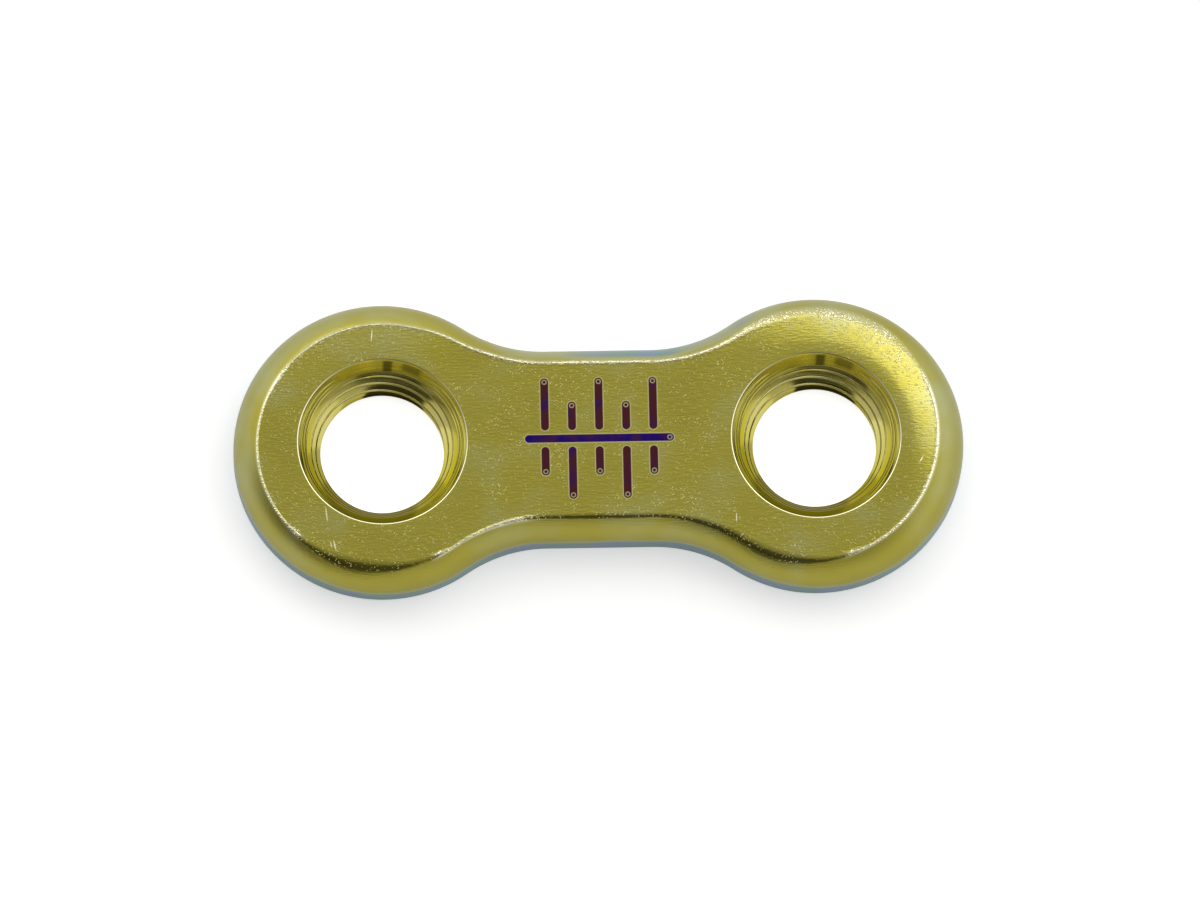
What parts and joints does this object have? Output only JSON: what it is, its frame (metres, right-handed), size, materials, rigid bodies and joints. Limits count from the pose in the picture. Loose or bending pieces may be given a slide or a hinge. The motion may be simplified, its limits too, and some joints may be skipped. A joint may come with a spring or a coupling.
{
  "type": "orthopedic bone plate",
  "caption": "Small waisted bone plate with two conical threaded screw holes, flat against the bone and rounded on its other side.",
  "frame": {"origin": "centre of the flat bone-side face, midway between the two screw holes", "axes": "+X from hole to hole along the plate, +Y across it, +Z out of the screw-entry face"},
  "size_m": [0.027, 0.011, 0.0023],
  "materials": {
    "anodised_titanium": "satin, gold anodised"
  },
  "bodies": {
    "root": {"plate": "anodised_titanium"}
  },
  "joints": []
}
